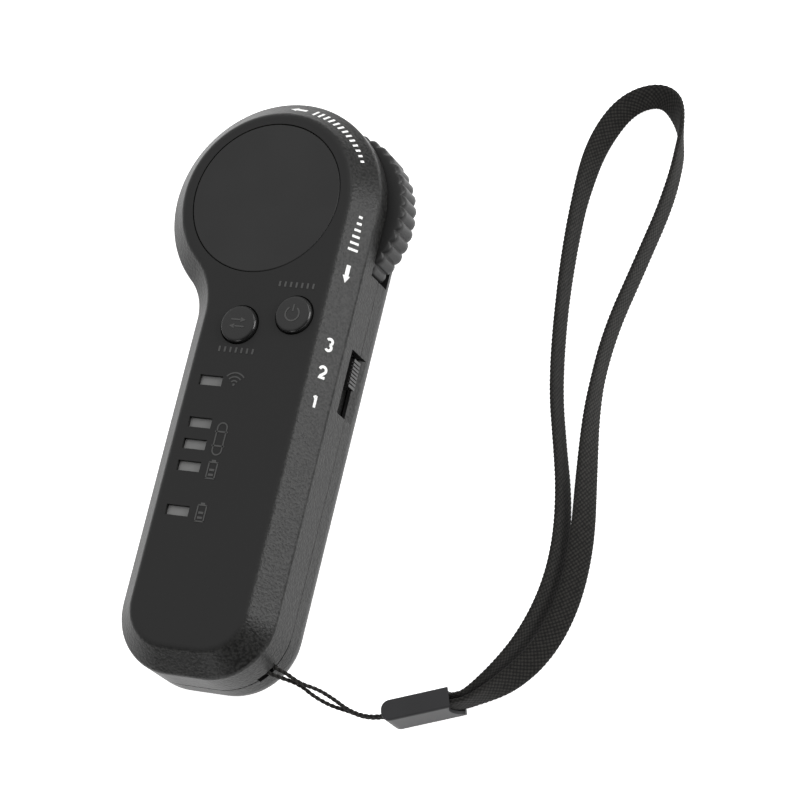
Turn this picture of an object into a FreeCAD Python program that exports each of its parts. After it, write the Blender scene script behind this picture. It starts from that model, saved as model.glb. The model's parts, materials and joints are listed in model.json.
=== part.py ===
"""Hand-held thumbwheel transmitter for a motorised board or model, with its wrist lanyard.

The remote lies on its back: +Z points out of the face, +Y towards the round head, and +X towards
the thumbwheel.  Z = 0 is the flat back, and X = Y = 0 is the middle of the remote's outline.
All sizes are in millimetres.
"""
import FreeCAD, Part
import math
import os
import Sketcher
from FreeCAD import Placement, Rotation, Vector

os.makedirs("parts", exist_ok=True)
doc = FreeCAD.newDocument("hand_remote")
sheet = doc.addObject("Spreadsheet::Sheet", "Sizes")

# ---------------------------------------------------------------- driving dimensions
SIZES = {
    # case: a round head of head_radius, and a handle tangent to its right side
    "head_radius": 24.6,
    "handle_left": 12.1,         # head centre to the handle's left side
    "handle_drop": 106.2,        # head centre to the bottom end
    "corner_radius": 14.0,
    "neck_radius": 12.0,
    "case_depth": 23.5,
    "part_height": 9.8,          # parting line above the back
    "bevel_run": 4.8,
    "bevel_drop": 5.5,
    "case_wall": 2.0,
    "face_wall": 2.4,
    "back_round": 6.0,
    "face_round": 1.8,
    "shoulder_round": 1.2,
    "parting_bevel": 0.2,
    "lip_height": 1.0,
    "lip_gap": 0.15,
    # inlaid disc of the head
    "disc_radius": 17.3,
    "disc_thickness": 1.2,
    "disc_gap": 0.18,
    # thumbwheel
    "wheel_inset": 16.0,         # wheel axis to the head's right side
    "wheel_y": 1.4,
    "wheel_radius": 19.8,
    "wheel_bottom": 6.0,
    "wheel_height": 7.5,
    "wheel_chamfer": 0.9,
    "tooth_depth": 0.9,
    "tooth_groove": 1.0,
    "wheel_gap": 1.3,            # all round the teeth, in the case opening
    "wheel_side_gap": 0.5,       # above and below the wheel, in the case opening
    "wheel_web": 3.0,
    "wheel_rim": 3.4,
    "hub_radius": 5.0,
    "axle_radius": 2.0,
    "running_gap": 0.05,
    "boss_gap": 0.45,            # boss to wheel hub, which a washer fills
    "washer_slack": 0.05,
    # push buttons, from the head centre
    "power_edge_gap": 0.34,      # power button's flange to the sloping wall
    "power_y": -26.3,
    "reverse_x": 1.5,
    "reverse_y": -29.6,
    "hole_radius": 4.5,
    "cap_radius": 4.2,
    "cap_proud": 1.1,
    "cap_flange": 0.8,
    "cap_round": 0.8,
    "flange_radius": 5.1,
    "flange_gap": 0.1,
    "collar_gap": 0.3,
    "collar_wall": 0.9,
    "collar_height": 1.9,
    "button_travel": 0.5,
    # indicator windows, in a column left of the centre
    "window_x": -1.97,
    "window_width": 5.5,
    "window_height": 2.3,
    "lens_gap": 0.06,
    "lens_sunk": 0.8,
    # slide switch on the right side
    "slider_y": -36.85,          # middle of its window, from the head centre
    "slider_z": 11.1,
    "slider_window": 14.5,
    "slider_window_height": 6.5,
    "sill_bevel": 1.2,           # slope along the window's lower edge
    "knob_length": 6.3,
    "knob_height": 3.2,
    "knob_proud": 0.3,
    "slider_travel": 5.1,
    "slider_ribs": 8,
    "switch_gap": 2.4,           # slide switch to the inside of the wall
    "switch_can_depth": 4.6,
    "switch_board_thickness": 1.0,
    # circuit board and battery
    "board_z": 16.4,
    "board_thickness": 1.2,
    "board_left_gap": 3.3,       # board edge to the case's outline
    "board_right_gap": 6.2,
    "board_end_gap": 13.2,
    "board_top": 4.2,            # below the head centre
    "battery_top": 43.8,         # below the head centre
    "battery_side_gap": 1.4,
    "battery_board_gap": 0.3,
    "battery_height": 9.0,
    # screws
    "screw_radius": 1.0,
    "screw_head_radius": 2.0,
    "screw_head_height": 1.5,
    "screw_seat": 4.0,
    "screw_length": 10.0,
    "boss_radius": 2.7,
    "standoff_radius": 1.5,
    "standoff_pilot": 0.7,
    "axle_boss_radius": 4.2,
    "pin_boss_radius": 2.3,
    # lanyard
    "pin_radius": 1.2,
    "cord_width": 0.9,
    "strap_width": 5.4,
    "strap_thickness": 1.4,
    "strap_fit": 0.15,
    "clasp_length": 16.3,
    "clasp_width": 4.6,
    "clasp_height": 7.4,
    "clasp_corner": 2.0,         # its two upright corners at the cord's end
    "clasp_edge_round": 0.5,
    "clasp_pocket": 8.0,
    "scoop_radius": 4.3,
    "scoop_out": 2.2,            # middle of the mouth's scoop beyond the mouth
    "scoop_up": 0.9,
    "cord_hole_depth": 3.0,
    "lanyard_slot": 5.0,
    "lanyard_slot_height": 1.7,
}
for row, (alias, value) in enumerate(SIZES.items(), 1):
    sheet.set(f"A{row}", alias)
    sheet.set(f"B{row}", str(value))
    sheet.setAlias(f"B{row}", alias)
doc.recompute()


def val(text):
    """The number that an expression over the sheet gives."""
    return float(sheet.evalExpression(text))


def sz(name):
    """One size from the sheet, as expression text."""
    return f"Sizes.{name}"


# ---------------------------------------------------------------- derived places, as expressions
WHEEL_X = "(Sizes.head_radius - Sizes.wheel_inset)"
REACH = f"({WHEEL_X} + Sizes.wheel_radius)"
HEAD_X = f"(Sizes.head_radius - {REACH}) / 2"
HEAD_Y = "(Sizes.handle_drop - Sizes.head_radius) / 2"
SHOULDER = "(Sizes.case_depth - Sizes.bevel_drop)"
CEILING = "(Sizes.case_depth - Sizes.face_wall)"
BEVEL_SLOPE = "(Sizes.bevel_run / Sizes.bevel_drop)"
SLANT = f"sqrt(1 + {BEVEL_SLOPE} * {BEVEL_SLOPE})"
INNER_SHOULDER = f"({SHOULDER} - Sizes.case_wall * ({SLANT} - 1) / {BEVEL_SLOPE})"
INNER_TOP_INSET = f"(Sizes.case_wall * {SLANT} + {BEVEL_SLOPE} * ({CEILING} - {SHOULDER}))"
WHEEL_TOP = "(Sizes.wheel_bottom + Sizes.wheel_height)"
BOARD_TOP = "(Sizes.board_z + Sizes.board_thickness)"
FLANGE_TOP = f"({CEILING} - Sizes.flange_gap)"
PLUNGER_TOP = f"({FLANGE_TOP} - Sizes.cap_flange - 0.25)"
TACT_TOP = f"({PLUNGER_TOP} - 0.75)"
KNOB_Y = "(Sizes.slider_y + Sizes.slider_travel / 2)"
WALL_INSIDE = "(Sizes.head_radius - Sizes.case_wall)"
HOUSING_FACE = f"({WALL_INSIDE} - Sizes.switch_gap)"
SWITCH_BACK = f"({HOUSING_FACE} - Sizes.switch_can_depth)"
POWER_X = f"(Sizes.head_radius - {INNER_TOP_INSET} - Sizes.flange_radius - Sizes.power_edge_gap)"
BOARD_LEFT = "(Sizes.handle_left - Sizes.board_left_gap)"
BOARD_RIGHT = "(Sizes.head_radius - Sizes.board_right_gap)"
BOARD_BOTTOM = "(Sizes.handle_drop - Sizes.board_end_gap)"
BATTERY_LEFT = "(Sizes.handle_left - Sizes.case_wall - Sizes.battery_side_gap)"
BATTERY_RIGHT = f"({SWITCH_BACK} - Sizes.switch_board_thickness - Sizes.battery_board_gap)"
BATTERY_END = "(Sizes.handle_drop - Sizes.corner_radius - 0.4)"
WINDOW_LOW = "(Sizes.slider_z - Sizes.slider_window_height / 2)"
WINDOW_HIGH = "(Sizes.slider_z + Sizes.slider_window_height / 2)"

# indicator windows: distance below the head centre; the three in the middle show the charge
WINDOWS = {"signal": 42.7, "board_high": 52.3, "board_mid": 57.2, "board_low": 62.15, "remote": 72.1}
# screw bosses, from the head centre
BOSS_INSET = "(Sizes.boss_radius + 3.8)"
SCREWS = [("-Sizes.head_radius + 1.1 * " + BOSS_INSET, "5.0"),
          ("-Sizes.handle_left + " + BOSS_INSET, "-35.0"),
          ("-Sizes.handle_left + Sizes.corner_radius - 5.2",
           "-Sizes.handle_drop + Sizes.corner_radius - 5.2"),
          ("Sizes.head_radius - " + BOSS_INSET, "-Sizes.handle_drop + Sizes.corner_radius + 10.2")]
# standoffs that carry the circuit board
STANDOFFS = [(f"{BOARD_RIGHT} - 2.8", "-48.4"), (f"{BOARD_RIGHT} - 3", f"19 - {BOARD_BOTTOM}"),
             (f"2 - {BOARD_LEFT}", f"17 - {BOARD_BOTTOM}")]
# the lanyard slot looks out of the lower right corner
SLOT_ANGLE = -40.4
SLOT_REACH = "(Sizes.corner_radius - Sizes.case_wall / 2)"
CORNER_X = "(Sizes.head_radius - Sizes.corner_radius)"
CORNER_Y = "(Sizes.corner_radius - Sizes.handle_drop)"
SLOT_COS = f"{math.cos(math.radians(SLOT_ANGLE)):.6f}"
SLOT_SIN = f"{math.sin(math.radians(SLOT_ANGLE)):.6f}"
PIN_REACH = "(Sizes.corner_radius - 6.2)"
PIN_X = f"({CORNER_X} + {PIN_REACH} * {SLOT_COS})"
PIN_Y = f"({CORNER_Y} + {PIN_REACH} * {SLOT_SIN})"

nodes = []


# ---------------------------------------------------------------- document helpers
def bind(obj, **fields):
    """Bind each property to its expression; base_x and so on are the placement's coordinates."""
    for field, text in fields.items():
        path = field.replace("base_", "Placement.Base.") if field.startswith("base_") else field
        obj.setExpression(path, text)


def new_body(name, x=HEAD_X, y=HEAD_Y, z="0"):
    """A sub-part that is one PartDesign body, placed in the remote's frame."""
    body = doc.addObject("PartDesign::Body", name)
    body.Label = name
    bind(body, base_x=x, base_y=y, base_z=z)
    nodes.append(body)
    return body


def keep(obj, name):
    """Make a Part object a sub-part of its own name."""
    obj.Label = name
    nodes.append(obj)
    return obj


def new_sketch(body, name, x="0", y="0", z="0", plane="XY_Plane", turn=0.0):
    """A sketch on one of the body's own origin planes, moved to (x, y, z) of that plane."""
    support = [f for f in body.Origin.OriginFeatures if f.Role == plane][0]
    sketch = body.newObject("Sketcher::SketchObject", name)
    sketch.AttachmentSupport = [(support, "")]
    sketch.MapMode = "FlatFace"
    sketch.AttachmentOffset = Placement(Vector(), Rotation(Vector(0, 0, 1), turn))
    for axis, text in (("x", x), ("y", y), ("z", z)):
        sketch.setExpression(f"AttachmentOffset.Base.{axis}", text)
    return sketch


def dimension(sketch, name, expression, kind, *where):
    """A named dimension whose value follows an expression."""
    index = sketch.addConstraint(Sketcher.Constraint(kind, *where, val(expression)))
    sketch.renameConstraint(index, name)
    sketch.setExpression(f"Constraints.{name}", expression)


def circle(sketch, radius):
    """A circle about the sketch's origin."""
    geo = sketch.addGeometry(Part.Circle(Vector(), Vector(0, 0, 1), val(radius)))
    sketch.addConstraint(Sketcher.Constraint("Coincident", geo, 3, -1, 1))
    dimension(sketch, f"circle{geo}", radius, "Radius", geo)


def rectangle(sketch, width, height):
    """A rectangle centred on the sketch's origin."""
    w, t = val(width) / 2, val(height) / 2
    corners = [Vector(-w, -t), Vector(w, -t), Vector(w, t), Vector(-w, t)]
    first = sketch.addGeometry([Part.LineSegment(corners[i], corners[(i + 1) % 4]) for i in range(4)])[0]
    for i in range(4):
        sketch.addConstraint(Sketcher.Constraint("Coincident", first + i, 2, first + (i + 1) % 4, 1))
        sketch.addConstraint(Sketcher.Constraint("Vertical" if i % 2 else "Horizontal", first + i))
    sketch.addConstraint(Sketcher.Constraint("Symmetric", first, 1, first + 2, 1, -1, 1))
    dimension(sketch, "width", width, "DistanceX", first, 1, first, 2)
    dimension(sketch, "height", height, "DistanceY", first + 1, 1, first + 1, 2)


def stadium(sketch, width, height):
    """A slot with round ends, centred on the sketch's origin."""
    r = val(height) / 2
    half = val(width) / 2 - r
    quarter = math.pi / 2
    z = Vector(0, 0, 1)
    sketch.addGeometry([
        Part.LineSegment(Vector(-half, -r), Vector(half, -r)),
        Part.ArcOfCircle(Part.Circle(Vector(half, 0), z, r), -quarter, quarter),
        Part.LineSegment(Vector(half, r), Vector(-half, r)),
        Part.ArcOfCircle(Part.Circle(Vector(-half, 0), z, r), quarter, 3 * quarter)])
    for i in range(4):
        sketch.addConstraint(Sketcher.Constraint("Tangent", i, 2, (i + 1) % 4, 1))
    sketch.addConstraint(Sketcher.Constraint("Horizontal", 0))
    sketch.addConstraint(Sketcher.Constraint("Symmetric", 1, 3, 3, 3, -1, 1))
    dimension(sketch, "end", f"({height}) / 2", "Radius", 1)
    dimension(sketch, "span", f"{width} - ({height})", "DistanceX", 0, 1, 0, 2)


def outline(body, name, z, inset="0"):
    """The case's outline, moved inwards by inset: head arc, neck fillet, sides and two corners.

    Every arc keeps its centre, so an inset only changes the radii and the sides' places."""
    sketch = new_sketch(body, name, z=z)
    head = val(f"Sizes.head_radius - ({inset})")
    neck = val(f"Sizes.neck_radius + ({inset})")
    corner = val(f"Sizes.corner_radius - ({inset})")
    left = -val(f"Sizes.handle_left - ({inset})")
    bottom = -val(f"Sizes.handle_drop - ({inset})")
    neck_x = left - neck
    neck_y = -math.sqrt((head + neck) ** 2 - neck_x ** 2)
    lean = math.atan2(-neck_y, -neck_x)
    z_axis = Vector(0, 0, 1)

    def arc(x, y, radius, start, end):
        return Part.ArcOfCircle(Part.Circle(Vector(x, y), z_axis, radius), start, end)

    low = bottom + corner
    sketch.addGeometry([
        arc(0, 0, head, 0, lean + math.pi),
        arc(neck_x, neck_y, neck, 0, lean),
        Part.LineSegment(Vector(left, neck_y), Vector(left, low)),
        arc(left + corner, low, corner, math.pi, 1.5 * math.pi),
        Part.LineSegment(Vector(left + corner, bottom), Vector(head - corner, bottom)),
        arc(head - corner, low, corner, 1.5 * math.pi, 2 * math.pi),
        Part.LineSegment(Vector(head, low), Vector(head, 0))])
    sketch.addConstraint(Sketcher.Constraint("Coincident", 0, 3, -1, 1))
    for joint in ((0, 2, 1, 2), (1, 1, 2, 1), (2, 2, 3, 1), (3, 2, 4, 1), (4, 2, 5, 1), (5, 2, 6, 1),
                  (6, 2, 0, 1)):
        sketch.addConstraint(Sketcher.Constraint("Tangent", *joint))
    sketch.addConstraint(Sketcher.Constraint("Vertical", 2))
    sketch.addConstraint(Sketcher.Constraint("Horizontal", 4))
    sketch.addConstraint(Sketcher.Constraint("Vertical", 6))
    dimension(sketch, "head_arc", f"Sizes.head_radius - ({inset})", "Radius", 0)
    dimension(sketch, "neck_arc", f"Sizes.neck_radius + ({inset})", "Radius", 1)
    dimension(sketch, "left_corner", f"Sizes.corner_radius - ({inset})", "Radius", 3)
    dimension(sketch, "right_corner", f"Sizes.corner_radius - ({inset})", "Radius", 5)
    dimension(sketch, "left_side", f"Sizes.handle_left - ({inset})", "DistanceX", 2, 1, -1, 1)
    dimension(sketch, "bottom_side", f"Sizes.handle_drop - ({inset})", "DistanceY", 4, 1, -1, 1)
    return sketch


def extrude(body, kind, sketch, length):
    """A Pad or Pocket of a sketch: a pad rises along the sketch's normal, a pocket cuts against it."""
    before = body.Shape.Volume if body.Tip else 0.0
    feature = body.newObject(f"PartDesign::{kind}", f"{kind}_{sketch.Name}")
    feature.Profile = sketch
    feature.setExpression("Length", length)
    doc.recompute()
    grown = feature.Shape.Volume - before
    if (grown <= 0) if kind == "Pad" else (grown >= 0):
        raise RuntimeError(f"{body.Label}: {sketch.Name} changes nothing")
    return feature


def loft(body, kind, first, last):
    """A ruled loft between two outlines."""
    feature = body.newObject(f"PartDesign::{kind}", f"{kind}_{first.Name}")
    feature.Profile = first
    feature.Sections = [last]
    feature.Ruled = True
    doc.recompute()
    return feature


def flat_edges(feature, height, accept=None):
    """Names of the edges that lie in the plane Z = height and pass the test."""
    found = []
    for number, edge in enumerate(feature.Shape.Edges, 1):
        box = edge.BoundBox
        flat = abs(box.ZMin - height) < 1e-4 and abs(box.ZMax - height) < 1e-4
        if flat and (accept is None or accept(edge)):
            found.append(f"Edge{number}")
    return found


def dress(body, kind, feature, edges, field, amount):
    """A Fillet or Chamfer on named edges."""
    done = body.newObject(f"PartDesign::{kind}", f"{kind}_{feature.Name}")
    done.Base = (feature, edges)
    done.setExpression(field, amount)
    doc.recompute()
    return done


def drill(body, name, x, y, top, radius, depth):
    """A round pocket from the plane Z = top downwards."""
    sketch = new_sketch(body, name, x, y, top)
    circle(sketch, radius)
    return extrude(body, "Pocket", sketch, depth)


def post(body, name, x, y, low, radius, height):
    """A round pad from the plane Z = low upwards."""
    sketch = new_sketch(body, name, x, y, low)
    circle(sketch, radius)
    return extrude(body, "Pad", sketch, height)


def block(name, width, length, height, x, y, z):
    """A plain box centred on (x, y) from the head centre, standing on Z = z."""
    box = doc.addObject("Part::Box", name)
    bind(box, Length=width, Width=length, Height=height,
         base_x=f"{HEAD_X} + {x} - ({width}) / 2", base_y=f"{HEAD_Y} + {y} - ({length}) / 2", base_z=z)
    return keep(box, name)


def rod(name, radius, height, x, y, z):
    """A plain cylinder on (x, y) from the head centre, standing on Z = z."""
    cylinder = doc.addObject("Part::Cylinder", name)
    bind(cylinder, Radius=radius, Height=height, base_x=f"{HEAD_X} + {x}", base_y=f"{HEAD_Y} + {y}", base_z=z)
    return cylinder


def lanyard_cut(body, name, top, depth):
    """The slot through the lower right corner, cut from Z = top downwards."""
    sketch = new_sketch(body, name, f"{CORNER_X} + {SLOT_REACH} * {SLOT_COS}",
                        f"{CORNER_Y} + {SLOT_REACH} * {SLOT_SIN}", top, turn=SLOT_ANGLE)
    rectangle(sketch, "Sizes.case_wall * 3", "Sizes.lanyard_slot")
    extrude(body, "Pocket", sketch, depth)


def side_cut(body, name, out_x, depth, y, low, high, width):
    """A rectangular pocket cut along -X from the plane X = out_x."""
    sketch = new_sketch(body, name, y, f"(({low}) + ({high})) / 2", out_x, "YZ_Plane")
    rectangle(sketch, width, f"({high}) - ({low})")
    return extrude(body, "Pocket", sketch, depth)


# ---------------------------------------------------------------- front shell
front = new_body("front_shell")
extrude(front, "Pad", outline(front, "front_wall", sz("part_height")), f"{SHOULDER} - Sizes.part_height")
bevel = loft(front, "AdditiveLoft", outline(front, "bevel_low", SHOULDER),
             outline(front, "bevel_high", sz("case_depth"), sz("bevel_run")))
softened = dress(front, "Fillet", bevel, flat_edges(bevel, val(sz("case_depth"))), "Radius", sz("face_round"))
shoulder = dress(front, "Fillet", softened, flat_edges(softened, val(SHOULDER)), "Radius", sz("shoulder_round"))
dress(front, "Chamfer", shoulder, flat_edges(shoulder, val(sz("part_height"))), "Size", sz("parting_bevel"))
extrude(front, "Pocket", outline(front, "front_hollow", INNER_SHOULDER, sz("case_wall")),
        f"{INNER_SHOULDER} - Sizes.part_height")
loft(front, "SubtractiveLoft", outline(front, "hollow_low", INNER_SHOULDER, sz("case_wall")),
     outline(front, "hollow_high", CEILING, INNER_TOP_INSET))
extrude(front, "Pocket", outline(front, "rebate", "Sizes.part_height + Sizes.lip_height + Sizes.lip_gap",
                                 "Sizes.case_wall / 2"), "Sizes.lip_height + Sizes.lip_gap")
drill(front, "disc_recess", "0", "0", sz("case_depth"), "Sizes.disc_radius + Sizes.disc_gap",
      sz("disc_thickness"))
wheel_room = "Sizes.wheel_radius + Sizes.wheel_gap"
front_top = f"({WHEEL_TOP} + Sizes.wheel_side_gap)"
drill(front, "wheel_opening", WHEEL_X, sz("wheel_y"), front_top, wheel_room,
      f"{front_top} - Sizes.part_height")
side_cut(front, "slider_window", "Sizes.head_radius + 1", "Sizes.case_wall + 2", sz("slider_y"),
         "Sizes.part_height - 1", WINDOW_HIGH, sz("slider_window"))
USB_Y = f"(10 - {BOARD_BOTTOM})"
USB_Z = "(Sizes.board_z - 1.62)"
usb_sketch = new_sketch(front, "usb_opening", USB_Y, USB_Z, "-Sizes.handle_left + Sizes.case_wall + 1",
                        "YZ_Plane")
stadium(usb_sketch, "9.5", "3.7")
extrude(front, "Pocket", usb_sketch, "Sizes.case_wall + 2")
lanyard_cut(front, "lanyard_slot_front", "Sizes.part_height + Sizes.lanyard_slot_height / 2",
            "Sizes.lanyard_slot_height / 2 + 0.5")
for number, (x, y) in enumerate(SCREWS):
    post(front, f"front_boss{number}", x, y, sz("part_height"), sz("boss_radius"),
         f"{CEILING} - Sizes.part_height + 0.3")
    pilot_top = "Sizes.screw_seat + Sizes.screw_length + 1"
    drill(front, f"pilot{number}", x, y, pilot_top, "Sizes.screw_radius", f"{pilot_top} - Sizes.part_height")
for number, (x, y) in enumerate(STANDOFFS):
    post(front, f"standoff{number}", x, y, BOARD_TOP, sz("standoff_radius"),
         f"{CEILING} - {BOARD_TOP} + 0.3")
    drill(front, f"standoff_pilot{number}", x, y, f"{BOARD_TOP} + 3", sz("standoff_pilot"), "3")
post(front, "axle_boss_front", WHEEL_X, sz("wheel_y"), f"{WHEEL_TOP} + Sizes.boss_gap",
     sz("axle_boss_radius"), f"{CEILING} - {WHEEL_TOP} - Sizes.boss_gap + 0.3")
drill(front, "axle_bore_front", WHEEL_X, sz("wheel_y"), f"{CEILING} - 1", sz("axle_radius"),
      f"{CEILING} - 1 - {WHEEL_TOP} - Sizes.boss_gap")
pin_low = "(Sizes.part_height + 2.6)"
post(front, "pin_boss_front", PIN_X, PIN_Y, pin_low, sz("pin_boss_radius"), f"{CEILING} - {pin_low} + 0.3")
drill(front, "pin_bore_front", PIN_X, PIN_Y, f"{pin_low} + 2", sz("pin_radius"), "2")
BUTTONS = {"power": (POWER_X, sz("power_y")), "reverse": (sz("reverse_x"), sz("reverse_y"))}
collar_inner = "(Sizes.flange_radius + Sizes.collar_gap)"
for name, (x, y) in BUTTONS.items():
    ring = new_sketch(front, f"collar_{name}", x, y, f"{CEILING} - Sizes.collar_height")
    circle(ring, f"{collar_inner} + Sizes.collar_wall")
    circle(ring, collar_inner)
    extrude(front, "Pad", ring, "Sizes.collar_height + 0.3")
    drill(front, f"button_hole_{name}", x, y, "Sizes.case_depth + 1", sz("hole_radius"), "Sizes.face_wall + 2")
for name, drop in WINDOWS.items():
    hole = new_sketch(front, f"window_{name}", sz("window_x"), f"-{drop}", "Sizes.case_depth + 1")
    rectangle(hole, sz("window_width"), sz("window_height"))
    extrude(front, "Pocket", hole, "Sizes.face_wall + 2")

# ---------------------------------------------------------------- rear shell
rear = new_body("rear_shell")
back = extrude(rear, "Pad", outline(rear, "back_wall", "0"), sz("part_height"))
rounded = dress(rear, "Fillet", back, flat_edges(back, 0.0), "Radius", sz("back_round"))
dress(rear, "Chamfer", rounded, flat_edges(rounded, val(sz("part_height"))), "Size", sz("parting_bevel"))
extrude(rear, "Pad", outline(rear, "lip", sz("part_height"), "Sizes.case_wall / 2 + Sizes.lip_gap"),
        sz("lip_height"))
rim_top = "(Sizes.part_height + Sizes.lip_height)"
hollow = extrude(rear, "Pocket", outline(rear, "rear_hollow", rim_top, sz("case_wall")),
                 f"{rim_top} - Sizes.case_wall")
floor_edges = flat_edges(hollow, val(sz("case_wall")))
dress(rear, "Fillet", hollow, floor_edges, "Radius", "Sizes.back_round - Sizes.case_wall")
rear_low = "(Sizes.wheel_bottom - Sizes.wheel_side_gap)"
drill(rear, "wheel_opening_rear", WHEEL_X, sz("wheel_y"), rim_top, wheel_room, f"{rim_top} - {rear_low}")
window = side_cut(rear, "slider_window_rear", "Sizes.head_radius + 1", "Sizes.case_wall + 2", sz("slider_y"),
                  WINDOW_LOW, f"{rim_top} + 0.5", sz("slider_window"))
sill = flat_edges(window, val(WINDOW_LOW), lambda edge: edge.BoundBox.XMin > val("Sizes.head_radius") - 1e-4)
dress(rear, "Chamfer", window, sill, "Size", sz("sill_bevel"))
lanyard_cut(rear, "lanyard_slot_rear", f"{rim_top} + 0.5",
            f"{rim_top} + 0.5 - Sizes.part_height + Sizes.lanyard_slot_height / 2")
for number, (x, y) in enumerate(SCREWS):
    post(rear, f"rear_boss{number}", x, y, "Sizes.case_wall / 2", "Sizes.boss_radius + 0.3",
         "Sizes.part_height - Sizes.case_wall / 2")
    drill(rear, f"screw_way{number}", x, y, sz("part_height"), "Sizes.screw_radius + 0.2", sz("part_height"))
    drill(rear, f"counterbore{number}", x, y, sz("screw_seat"), "Sizes.screw_head_radius + 0.3",
          sz("screw_seat"))
boss_top = "(Sizes.wheel_bottom - Sizes.boss_gap)"
post(rear, "axle_boss_rear", WHEEL_X, sz("wheel_y"), "Sizes.case_wall / 2",
     "Sizes.axle_boss_radius + 0.2", f"{boss_top} - Sizes.case_wall / 2")
drill(rear, "axle_bore_rear", WHEEL_X, sz("wheel_y"), boss_top, sz("axle_radius"), f"{boss_top} - 2")
post(rear, "pin_boss_rear", PIN_X, PIN_Y, "Sizes.case_wall / 2",
     sz("pin_boss_radius"), "6")
drill(rear, "pin_bore_rear", PIN_X, PIN_Y, "Sizes.case_wall / 2 + 6", sz("pin_radius"), "3")

# ---------------------------------------------------------------- inlaid disc
disc = new_body("face_disc")
disc_pad = post(disc, "disc_plate", "0", "0", "Sizes.case_depth - Sizes.disc_thickness", sz("disc_radius"),
                sz("disc_thickness"))
dress(disc, "Fillet", disc_pad, flat_edges(disc_pad, val(sz("case_depth"))), "Radius", "0.2")

# ---------------------------------------------------------------- thumbwheel and what it turns on
wheel = new_body("thumbwheel", f"{HEAD_X} + {WHEEL_X}", f"{HEAD_Y} + Sizes.wheel_y", sz("wheel_bottom"))
tyre = post(wheel, "wheel_round", "0", "0", "0", sz("wheel_radius"), sz("wheel_height"))
dress(wheel, "Chamfer", tyre, flat_edges(tyre, 0.0) + flat_edges(tyre, val(sz("wheel_height"))), "Size",
      sz("wheel_chamfer"))
TEETH = 42
groove = new_sketch(wheel, "tooth_groove", "Sizes.wheel_radius", "0", "Sizes.wheel_height + 1")
rectangle(groove, "Sizes.tooth_depth * 2", sz("tooth_groove"))
groove_cut = extrude(wheel, "Pocket", groove, "Sizes.wheel_height + 2")
teeth = wheel.newObject("PartDesign::PolarPattern", "teeth")
teeth.Originals = [groove_cut]
teeth.Axis = ([f for f in wheel.Origin.OriginFeatures if f.Role == "Z_Axis"][0], [""])
teeth.Angle = 360
teeth.Occurrences = TEETH
wheel.Tip = teeth
doc.recompute()
well = new_sketch(wheel, "wheel_well", z="Sizes.wheel_height - Sizes.wheel_web")
circle(well, "Sizes.wheel_radius - Sizes.wheel_rim")
circle(well, sz("hub_radius"))
extrude(wheel, "Pocket", well, "Sizes.wheel_height - Sizes.wheel_web")
drill(wheel, "wheel_bore", "0", "0", "Sizes.wheel_height + 1", "Sizes.axle_radius + Sizes.running_gap",
      "Sizes.wheel_height + 2")
MAGNET_REACH = "9"
MAGNETS = {"left": (-4.2, 1.5), "right": (4.2, 1.5)}
for side, (across, deep) in MAGNETS.items():
    drill(wheel, f"magnet_seat_{side}", str(across), f"-{MAGNET_REACH}", "Sizes.wheel_height + 0.5", "1.5",
          f"0.5 + {deep}")
    keep(rod(f"wheel_magnet_{side}", "1.5", str(deep), f"{WHEEL_X} + {across}",
             f"Sizes.wheel_y - {MAGNET_REACH}", f"{WHEEL_TOP} - {deep}"), f"wheel_magnet_{side}")
keep(rod("wheel_axle", sz("axle_radius"), f"{CEILING} - 1 - 2", WHEEL_X, sz("wheel_y"), "2"),
     "wheel_axle")
for name, low in (("lower", boss_top), ("upper", f"{WHEEL_TOP} + Sizes.washer_slack")):
    washer = new_body(f"{name}_washer", f"{HEAD_X} + {WHEEL_X}", f"{HEAD_Y} + Sizes.wheel_y", low)
    ring = new_sketch(washer, f"{name}_washer_ring")
    circle(ring, "4.0")
    circle(ring, "Sizes.axle_radius + Sizes.running_gap")
    extrude(washer, "Pad", ring, "Sizes.boss_gap - Sizes.washer_slack")

# return spring: close coils about the hub, in the wheel's well
COIL_WIRE, COIL_TURNS = 0.42, 3
coils = []
for turn in range(COIL_TURNS):
    ring = doc.addObject("Part::Torus", f"coil{turn}")
    bind(ring, Radius1="Sizes.hub_radius + 1.6", Radius2=str(COIL_WIRE), base_x=f"{HEAD_X} + {WHEEL_X}",
         base_y=f"{HEAD_Y} + Sizes.wheel_y", base_z=f"Sizes.wheel_bottom + {1.0 + turn}")
    coils.append(ring)
leg = rod("coil_leg", "0.5", "Sizes.wheel_bottom + 3.2 - Sizes.case_wall",
          f"{WHEEL_X} - Sizes.hub_radius - 1.6", sz("wheel_y"), sz("case_wall"))
arm = rod("coil_arm", "0.35", "Sizes.wheel_radius - Sizes.wheel_rim - Sizes.hub_radius - 1.6 - 0.05",
          f"{WHEEL_X} + Sizes.hub_radius + 1.6", sz("wheel_y"), "Sizes.wheel_bottom + 3.0")
arm.Placement.Rotation = Rotation(Vector(0, 1, 0), 90)
spring = doc.addObject("Part::MultiFuse", "wheel_spring")
spring.Shapes = coils + [leg, arm]
keep(spring, "wheel_spring")

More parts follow.
